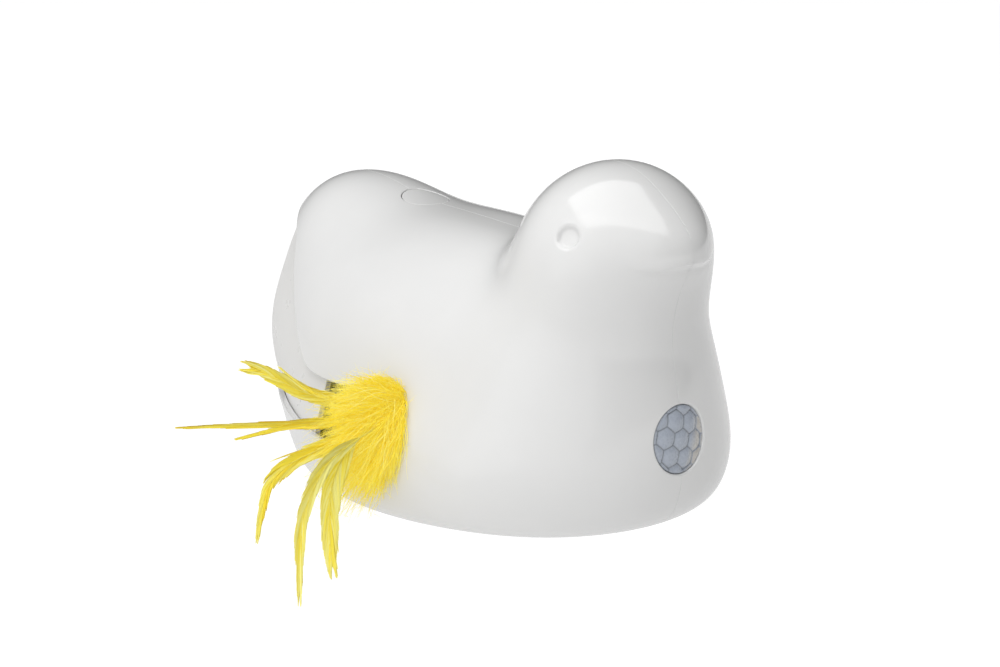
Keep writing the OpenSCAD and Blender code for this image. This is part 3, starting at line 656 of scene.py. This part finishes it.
SEAM_GAP = 0.02
SHELL_HOLES = [(window_distance, 0.8), (lens_distance, 0.8), (button_distance, 0.3), (base_distance, 0.4)]


def make_shell(side, name):
    """Half of the body, which each hole leaves with an edge of its own radius."""
    skin = Skin()
    skin.trim(lambda p: side * p[:, 1] - SEAM_GAP, 0.12)
    for hole, radius in SHELL_HOLES:
        skin.trim(hole, radius)
    return skin.build(name, WALL, white_gloss, face_relief)


place(make_shell(-1, "shell_right_skin"), "body", "white_gloss", "shell_right")
place(make_shell(1, "shell_left_skin"), "body", "white_gloss", "shell_left")

cover = Skin(COVER_DEPTH)
cover.trim(lambda p: COVER_FRONT_X - p[:, 0], 0.4)
cover.trim(lambda p: COVER_LAP - window_distance(p), 0.3)
place(cover.build("rear_cover_skin", COVER_WALL, cover_white), "body", "cover_white", "rear_cover")

CAP_DEPTH, CAP_WALL = 0.15, 1.5
cap = Skin(CAP_DEPTH)
cap.trim(lambda p: -button_distance(p, 0), 0.35)
place(cap.build("button_cap", CAP_WALL, white_gloss), "button", "white_gloss", "power_button")

# ---------------------------------------------------------------- lens

FACET, FACET_TURN, FACET_HEIGHT = 7.0, math.radians(-13), 0.75
LENS_RINGS, LENS_AROUND, LENS_RIM, LENS_SINK, LENS_BACK = 90, 288, 0.6, 0.55, 5
BORDER, PALE_FROM, PALE_OVER, RIM_X = 0.45, 4.5, 3.5, 98.0


def hex_cells(y, z):
    """Distance to the middle of the nearest cell of a hexagonal grid, and to the edge between cells."""
    cos, sin = math.cos(FACET_TURN), math.sin(FACET_TURN)
    y, z = y * cos + z * sin, z * cos - y * sin
    row_step = FACET * math.sqrt(3) / 2
    row = np.round(z / row_step)
    near = []
    for dr in (-1, 0, 1):
        r = row + dr
        shift = np.mod(r, 2) * FACET / 2
        column = np.round((y - shift) / FACET)
        for dc in (-1, 0, 1):
            near.append(np.hypot(y - (column + dc) * FACET - shift, z - r * row_step))
    near = np.sort(np.array(near), 0)
    return near[0], (near[1] - near[0]) / 2


def make_lens():
    around = LENS_AROUND
    flat_r = LENS_R - LENS_RIM
    r = np.concatenate([np.linspace(0, flat_r, LENS_RINGS)[1:],
                        flat_r + LENS_RIM * np.sin(np.radians([18, 36, 54, 72, 90]))])
    a = np.arange(around) * 2 * math.pi / around
    radius, angle = np.meshgrid(r, a, indexing="ij")
    y, z = radius * np.cos(angle), radius * np.sin(angle)
    # the rim follows the skin around the hole
    rim = np.stack([np.full(around, RIM_X), LENS_R * np.cos(a), LENS_Z + LENS_R * np.sin(a)], 1)
    edge = to_skin(rim)[:, 0] - LENS_SINK
    dome = LENS_X - radius ** 2 / (2 * DOME_R)
    x = dome + (edge[None] - (LENS_X - LENS_R ** 2 / (2 * DOME_R))) * (radius / LENS_R) ** 2
    middle, border = hex_cells(y, z)
    fade = np.clip((LENS_R - 0.7 - radius) / 0.5, 0, 1)
    x = x + FACET_HEIGHT * (0.4 - (middle / (FACET / 2)) ** 2) * fade
    turned = 1 - ((radius - LENS_R + LENS_RIM) / LENS_RIM) ** 2
    x = np.where(radius > flat_r, x - LENS_RIM * (1 - np.sqrt(np.maximum(turned, 0))), x)
    # cells toward the +y side and the bottom are paler and beige
    pale = np.clip((y + 0.35 * -z - PALE_FROM) / PALE_OVER, 0, 1)
    # painted shade: dark along the edges between the cells and in a ring at the rim, where the lens sinks
    # into the shell
    shade = np.clip(border / BORDER, 0, 1) * np.clip((LENS_R - radius) / BORDER, 0, 1) * (0.6 + 0.4 * pale)
    points = [(LENS_X + 0.4 * FACET_HEIGHT, 0, LENS_Z)]
    points += np.stack([x, y, z + LENS_Z], -1).reshape(-1, 3).tolist()
    cell = [1.0] + shade.reshape(-1).tolist()
    # the back of the dome, inside the body, is painted in the darkest shade
    for back_r in (LENS_R, 0.2):
        points += [(LENS_X - LENS_BACK, back_r * math.cos(t), back_r * math.sin(t) + LENS_Z) for t in a]
        cell += [0.0] * around
    count = len(r) + 2
    faces = [(0, 1 + k, 1 + (k + 1) % around) for k in range(around)]
    for i in range(count - 1):
        for k in range(around):
            p, q = 1 + i * around + k, 1 + i * around + (k + 1) % around
            faces.append((p, p + around, q + around, q))
    faces.append(tuple(1 + (count - 1) * around + k for k in range(around - 1, -1, -1)))
    mesh = bpy.data.meshes.new("lens_dome")
    mesh.from_pydata([tuple(c * MM for c in p) for p in points], [], faces)
    point_values(mesh, "cell", cell)
    mesh.shade_smooth()
    mesh.set_sharp_from_angle(angle=math.radians(40))
    return finish_piece("lens_dome", mesh, lens_plastic)


place(make_lens(), "body", "lens_plastic", "pir_lens")

# ---------------------------------------------------------------- feathers


class Fibres:
    """Collects thin ribbons into one mesh, with a tone for each point."""

    def __init__(self):
        self.points, self.faces, self.tones, self.count = [], [], [], 0

    def add(self, paths, widths, sideways, tones):
        """paths and sideways are (fibres, steps, 3), widths and tones (fibres, steps)."""
        n, steps = paths.shape[:2]
        half = sideways * widths[..., None] / 2
        both = np.stack([paths - half, paths + half], 2)
        self.points.append(both.reshape(-1, 3))
        self.tones.append(np.repeat(tones[..., None], 2, 2).reshape(-1))
        first = self.count + np.arange(n)[:, None] * steps * 2 + np.arange(steps - 1) * 2
        self.faces.append(np.stack([first, first + 1, first + 3, first + 2], -1).reshape(-1, 4))
        self.count += n * steps * 2

    def build(self, name, material, painted_glow=0.0):
        mesh = bpy.data.meshes.new(name)
        mesh.from_pydata((np.concatenate(self.points) * MM).tolist(), [], np.concatenate(self.faces).tolist())
        # painted glow: emission strength for each point
        point_values(mesh, "painted_glow", np.full(self.count, painted_glow))
        point_values(mesh, "tone", np.concatenate(self.tones))
        mesh.shade_smooth()
        return finish_piece(name, mesh, material)


class Spine:
    """A smooth curve through points, read by share of its length."""

    def __init__(self, points):
        self.p = curve_through(points, 12)
        steps = np.linalg.norm(np.diff(self.p, axis=0), axis=1)
        self.s = np.concatenate([[0], np.cumsum(steps)])
        self.length = self.s[-1]
        self.s = self.s / self.length

    def point(self, t):
        t = np.clip(t, 0, 1)
        return np.stack([np.interp(t, self.s, self.p[:, k]) for k in range(3)], -1)

    def at(self, t):
        """Point and direction there. Past its ends the curve runs straight on."""
        inside = np.clip(t, 0, 1)
        way = unit(self.point(inside + 0.02) - self.point(inside - 0.02))
        return self.point(inside) + way * ((t - inside) * self.length)[..., None], way


VIEW = np.array(from_view(CAMERA_TURN, CAMERA_LIFT, 1, Vector((0, 0, 0))))
ACROSS = unit(np.cross([0, 0, 1.0], VIEW))
UPWARD = np.cross(VIEW, ACROSS)


VANE_STEPS, CLUMPS = 9, 14
SHAFT_TONE, SHAFT_END = 0.85, 0.95
VANE_ROOT = 0.3
THICK_SHAFT, THIN_SHAFT = 0.8, 0.4


def vane(fibres, spine, half_width, barbs, face, barb=15.0, start=0.05, tone=0.55, ragged=0.3, thick=0.75):
    """Barbs on both sides of a shaft. Each leaves it at a slant, then runs nearly along it to the outline."""
    s = np.linspace(0, 1, VANE_STEPS)
    for side in (-1, 1):
        t = np.sort(rng.uniform(start, 0.93, barbs))
        # barbs lock together in clumps, which leave notches between them
        bounds = np.sort(rng.uniform(start, 1, CLUMPS - 1))
        clump = np.searchsorted(bounds, t)
        share = rng.uniform(1 - ragged, 1.06, CLUMPS)[clump]
        run = barb / spine.length * rng.uniform(0.85, 1.1, CLUMPS)[clump] * rng.uniform(0.93, 1.05, barbs)
        end = np.minimum(t + run, rng.uniform(0.955, 1.012, barbs))
        out = half_width(np.clip(end, 0, 1)) * side * share * rng.uniform(0.86, 1.02, barbs)
        along = t[:, None] + (end - t)[:, None] * s
        off = out[:, None] * (1 - (1 - s) ** 1.7)
        at, way = spine.at(along)
        across = unit(np.cross(way, face))
        up = unit(np.cross(across, way))
        sag = -0.05 * np.abs(off) ** 1.4 + rng.normal(0, 0.22, barbs)[:, None] * (0.3 + s)
        stray = rng.normal(0, 0.1, barbs)[:, None] * s
        path = at + across * (off + stray)[..., None] + up * sag[..., None]
        width = thick * (1 - 0.72 * s ** 2)[None] * rng.uniform(0.7, 1.15, barbs)[:, None]
        shade = tone + rng.normal(0, 0.12, barbs)[:, None] + 0.2 * s[None]
        shade = shade + rng.normal(0, 0.12, CLUMPS)[clump][:, None]
        lean = side * rng.uniform(0.1, 0.5, barbs)[:, None, None]
        fibres.add(path, width, unit(across + up * lean), np.clip(shade, 0, 1))


def shaft(fibres, spine, thick, face):
    """Three crossed ribbons, so that it shows from every side."""
    t = np.linspace(0, SHAFT_END, 26)
    at, way = spine.at(t)
    across = unit(np.cross(way, face))
    up = unit(np.cross(across, way))
    width = thick * (1 - 0.85 * t)
    for turn in range(3):
        a = turn * math.pi / 3
        fibres.add((at + up * 0.2)[None], width[None], (across * math.cos(a) + up * math.sin(a))[None],
                   np.full((1, len(t)), SHAFT_TONE))


def outline(wide, tip, peak):
    """Half width of a vane along its length: narrow at the root, widest at peak, then down to the tip."""
    def half(t):
        rise = VANE_ROOT + (1 - VANE_ROOT) * np.sin(np.clip(t / peak, 0, 1) * math.pi / 2)
        fall = np.where(t > peak, 1 - (1 - tip) * ((t - peak) / (1 - peak)) ** 1.6, 1)
        return wide * rise * fall
    return half


# Where the feathers leave the quill, in the opening
ROOT = np.array([21.4, -59.5, 41])
# Feathers that make up each plume: path, half width, share of it at the tip, widest place, barbs on a side
PLUMES = {
    "plume_1": [
        ([(5, -72, 43), (-5, -78.5, 45), (-13.5, -83, 48.5), (-20, -86, 51), (-27, -90, 52.5)],
         2.7, 0.7, 0.6, 210, dict(barb=13, tone=0.5, ragged=0.35)),
        ([(8, -72, 43), (-2, -79, 46.5), (-9, -82, 50.5), (-14, -84, 54)],
         1.1, 0.1, 0.5, 36, dict(barb=9, tone=0.62, ragged=0.6, thick=0.4)),
    ],
    "plume_2": [
        ([(8, -72, 37), (-0.5, -78.5, 35.5), (-12, -88.5, 34), (-25, -100.5, 33), (-36.5, -111, 32)],
         1.35, 0.05, 0.45, 150, dict(barb=20, tone=0.52, ragged=0.3)),
        ([(6, -77, 36), (-4, -86, 34.5), (-10.5, -92.5, 32.5), (-18.5, -99, 29.5)],
         1.1, 0.2, 0.4, 80, dict(barb=12, tone=0.38, ragged=0.4)),
    ],
    "plume_3": [
        ([(15, -77.5, 33), (11, -88, 29.5), (7.5, -97, 25.5), (6.5, -104, 20), (8.5, -108.5, 13.5),
          (11, -113, 3)],
         2.9, 0.12, 0.5, 230, dict(barb=13, tone=0.55, ragged=0.4)),
        ([(10.5, -76, 33), (4.5, -84.5, 29), (0, -90.5, 26.5), (-4, -96, 24)],
         0.3, 0.2, 0.4, 16, dict(barb=9, tone=0.6, thick=0.4)),
    ],
    "plume_4": [
        ([(27, -80, 37), (33, -96, 35), (37.5, -106, 31.5), (45, -119, 23.5), (56, -129.5, 15),
          (66.5, -138, 3)],
         2.6, 0.15, 0.55, 230, dict(barb=18, tone=0.8, ragged=0.3, start=0.24)),
    ],
    "plume_5": [
        ([(24, -76, 37), (28, -88, 33), (32, -96.5, 26), (38, -103, 19), (47, -110, 9), (54.5, -115, 3)],
         3.9, 0.3, 0.55, 260, dict(barb=18, tone=0.8, ragged=0.25, start=0.3)),
    ],
}


def on_wand(obj, node):
    """Rides on the wand, with a mesh of its own, in place of the CAD node."""
    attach(obj, "wand")
    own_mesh(obj)
    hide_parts(node)


QUILL_PATH = [(-2.7, -27.6, 45), (3.5, -35.2, 45), (11, -47, 43.5), (18.5, -62, 41)]
QUILL_R, QUILL_AROUND = 1.1, 12


def stem_quill():
    """Round quill from inside the ferrule to where the down starts."""
    around = QUILL_AROUND
    path = curve_through(QUILL_PATH, 8)
    way = unit(np.gradient(path, axis=0))
    across = unit(np.cross(way, [0, 0, 1.0]))
    up = np.cross(across, way)
    a = (np.arange(around) * 2 * math.pi / around)[None, :, None]
    rings = path[:, None] + QUILL_R * (across[:, None] * np.cos(a) + up[:, None] * np.sin(a))
    faces = [tuple(range(around))[::-1], tuple((len(path) - 1) * around + k for k in range(around))]
    for i in range(len(path) - 1):
        for k in range(around):
            p, q = i * around + k, i * around + (k + 1) % around
            faces.append((p, q, q + around, p + around))
    mesh = bpy.data.meshes.new("stem_quill")
    mesh.from_pydata((rings.reshape(-1, 3) * MM).tolist(), [], faces)
    mesh.shade_smooth()
    mesh.set_sharp_from_angle(angle=math.radians(40))
    return finish_piece("stem_quill", mesh, quill)


on_wand(stem_quill(), "feather_stem")

for name, feathers in PLUMES.items():
    fibres = Fibres()
    for points, wide, tip, peak, barbs, look in feathers:
        spine = Spine([tuple(ROOT + rng.normal(0, 1, 3) * [1, 1, 1.5])] + points)
        face = unit(VIEW + rng.normal(0, 0.18, 3))
        vane(fibres, spine, outline(wide, tip, peak), barbs, face, **look)
        shaft(fibres, spine, THICK_SHAFT if wide > 2 else THIN_SHAFT, face)
    on_wand(fibres.build(name + "_barbs", feather_yellow), name)

# Directions of the down in the view plane, from the right and turning upward, and how far it reaches
DOWN_TURN = [128, 150, 180, 205, 235, 250, 272]
DOWN_REACH = [11, 17, 27, 31, 34, 31, 12]
DOWN_FIBRES, DOWN_STEPS, TUFTS, CURLED = 15000, 8, 260, 9000
# emission strength that paints a glow into the down
DOWN_PAINTED_GLOW = 0.12


def each(values):
    """One value for each fibre, ready to multiply a point or a row of steps."""
    return values[:, None]


def fluff():
    """Down: fine fibres in soft tufts, which fan out of the opening's front end to the rear and droop."""
    fibres = Fibres()
    n, steps = DOWN_FIBRES, DOWN_STEPS
    s = np.linspace(0, 1, steps)
    turn = 130 + 140 * rng.beta(1.5, 1.25, TUFTS)
    way = ACROSS * each(np.cos(np.radians(turn))) + UPWARD * each(np.sin(np.radians(turn))) \
        + VIEW * each(rng.uniform(-0.05, 0.6, TUFTS))
    reach = np.interp(turn, DOWN_TURN, DOWN_REACH) * rng.uniform(0.5, 1.0, TUFTS)
    angle, radius = rng.uniform(0, 2 * math.pi, TUFTS), np.sqrt(rng.uniform(0, 1, TUFTS))
    start = ROOT + ACROSS * each(radius * np.cos(angle) * 3.6) + UPWARD * each(radius * np.sin(angle) * 6.0)
    end = start + way * each(reach) - UPWARD * each(reach * 0.06)
    tuft = rng.integers(0, TUFTS, n)
    grow = each(rng.uniform(0.45, 1.08, n))
    a = start[tuft] + rng.normal(0, 0.9, (n, 3))
    b = a + (end[tuft] - start[tuft]) * grow + rng.normal(0, 1, (n, 3)) * (0.10 * reach[tuft, None])
    belly = VIEW * each(rng.uniform(0, 5, n)) + UPWARD * each(rng.normal(0.6, 1.6, n)) \
        + ACROSS * each(rng.normal(0, 1.2, n))
    ripple = rng.normal(0, 0.42, (n, 1, 3))
    ripple = ripple * np.sin(s * rng.uniform(5, 12, (n, 1)) + rng.uniform(0, 6, (n, 1)))[..., None]
    path = a[:, None] + (b - a)[:, None] * s[:, None] + belly[:, None] * (4 * s * (1 - s))[:, None] \
        + ripple * s[None, :, None]
    # the down lies on the shell, not in it, once it is clear of the opening
    flat = path.reshape(-1, 3)
    inside = (body_gap(flat) < 0.3) & (window_distance(flat) > -2)
    inside[::steps] = False
    if inside.any():
        on = to_skin(flat[inside], 3)
        flat[inside] = on + skin_normal(on) * rng.uniform(0.3, 1.6, (inside.sum(), 1))
    path = flat.reshape(n, steps, 3)
    along = unit(np.gradient(path, axis=1))
    sideways = unit(np.cross(along, VIEW + rng.normal(0, 0.25, (n, 1, 3))))
    width = each(rng.uniform(0.14, 0.3, n)) * (1.05 - 0.85 * s ** 1.5)[None]
    tone = each(rng.normal(0.5, 0.1, n)) + each(rng.normal(0, 0.13, TUFTS)[tuft]) + 0.3 * s[None] - 0.05
    fibres.add(path, width, sideways, np.clip(tone, 0, 1))
    # short curled barbs stand off the long ones and soften the outline
    m = CURLED
    pick, step = rng.integers(0, n, m), rng.integers(2, steps, m)
    a = path[pick, step]
    out = unit(along[pick, step] * 0.5 + rng.normal(0, 0.75, (m, 3)) + VIEW * 0.25)
    curl = unit(np.cross(out, rng.normal(0, 1, (m, 3))))
    size = rng.uniform(2.0, 5.5, (m, 1, 1))
    path = a[:, None] + size * (out[:, None] * s[:, None] + curl[:, None] * (0.55 * s ** 2)[:, None])
    keep = (body_gap(path.reshape(-1, 3)).reshape(m, steps) > 0.1).all(1)
    path = path[keep]
    left = len(path)
    sideways = unit(np.cross(unit(np.gradient(path, axis=1)), VIEW + rng.normal(0, 0.3, (left, 1, 3))))
    width = each(rng.uniform(0.07, 0.16, left)) * (1.05 - 0.85 * s)[None]
    tone = each(np.clip(rng.normal(0.7, 0.12, left), 0, 1)) + 0 * s[None]
    fibres.add(path, width, sideways, tone)
    return fibres.build("down", feather_yellow, DOWN_PAINTED_GLOW)


on_wand(fluff(), "feather_fluff")

# ---------------------------------------------------------------- finishes of the CAD nodes

for node in NODES.values():
    for held in node.material_slots:
        base = held.material.name.split(".")[0] if held.material else ""
        if base in FINISHES:
            held.material = FINISHES[base]

# ---------------------------------------------------------------- floor, light

FLOOR_HALF = 6
floor_mesh = bpy.data.meshes.new("floor")
floor_mesh.from_pydata([(x * FLOOR_HALF, y * FLOOR_HALF, 0) for x, y in ((-1, -1), (1, -1), (1, 1), (-1, 1))],
                       [], [(0, 1, 2, 3)])
floor_look = Nodes("floor_paper", (0.2, 0.2, 0.2), 0.7)
floor_look.color(floor_look.ramp(floor_look.noise(8, 2), [(0.3, (0.195,) * 3), (0.7, (0.205,) * 3)]))
floor_look.set(floor_look.shader, "Emission Color", (1, 1, 1, 1))
# seen directly, the paper is lit through to white. It throws a little less light on the part
seen = floor_look.tree.nodes.new("ShaderNodeLightPath").outputs["Is Camera Ray"]
floor_look.link(floor_look.spread(seen, 0.62, 0.9, 0, 1), floor_look.shader.inputs["Emission Strength"])
finish_piece("floor", floor_mesh, floor_look.material)

world = bpy.data.worlds.new("studio")
bpy.context.scene.world = world
world.use_nodes = True
background = world.node_tree.nodes["Background"]
background.inputs["Color"].default_value = (1, 1, 1, 1)
# The room is bright on the bird's right side and dark on its left
BRIGHT_SIDE = (-0.259, -0.966, 0)
where = world.node_tree.nodes.new("ShaderNodeTexCoord")
toward = world.node_tree.nodes.new("ShaderNodeVectorMath")
toward.operation = "DOT_PRODUCT"
toward.inputs[1].default_value = BRIGHT_SIDE
level = world.node_tree.nodes.new("ShaderNodeMapRange")
set_range(level, -0.25, 0.75, 0.05, 0.74)
world.node_tree.links.new(where.outputs["Generated"], toward.inputs[0])
world.node_tree.links.new(toward.outputs["Value"], level.inputs["Value"])
world.node_tree.links.new(level.outputs["Result"], background.inputs["Strength"])


def softbox(name, turn, lift, distance, size, power):
    data = bpy.data.lights.new(name, "AREA")
    data.shape = "RECTANGLE"
    data.size, data.size_y = size
    data.energy = power
    obj = bpy.data.objects.new(name, data)
    bpy.context.scene.collection.objects.link(obj)
    obj.location = from_view(turn, lift, distance)
    aim(obj, LOOK_AT)


softbox("key", 30, 30, 1.6, (2.6, 2.2), 8)
softbox("top", 60, 82, 1.6, (1.8, 1.8), 19)

bpy.context.scene.view_settings.view_transform = "Standard"
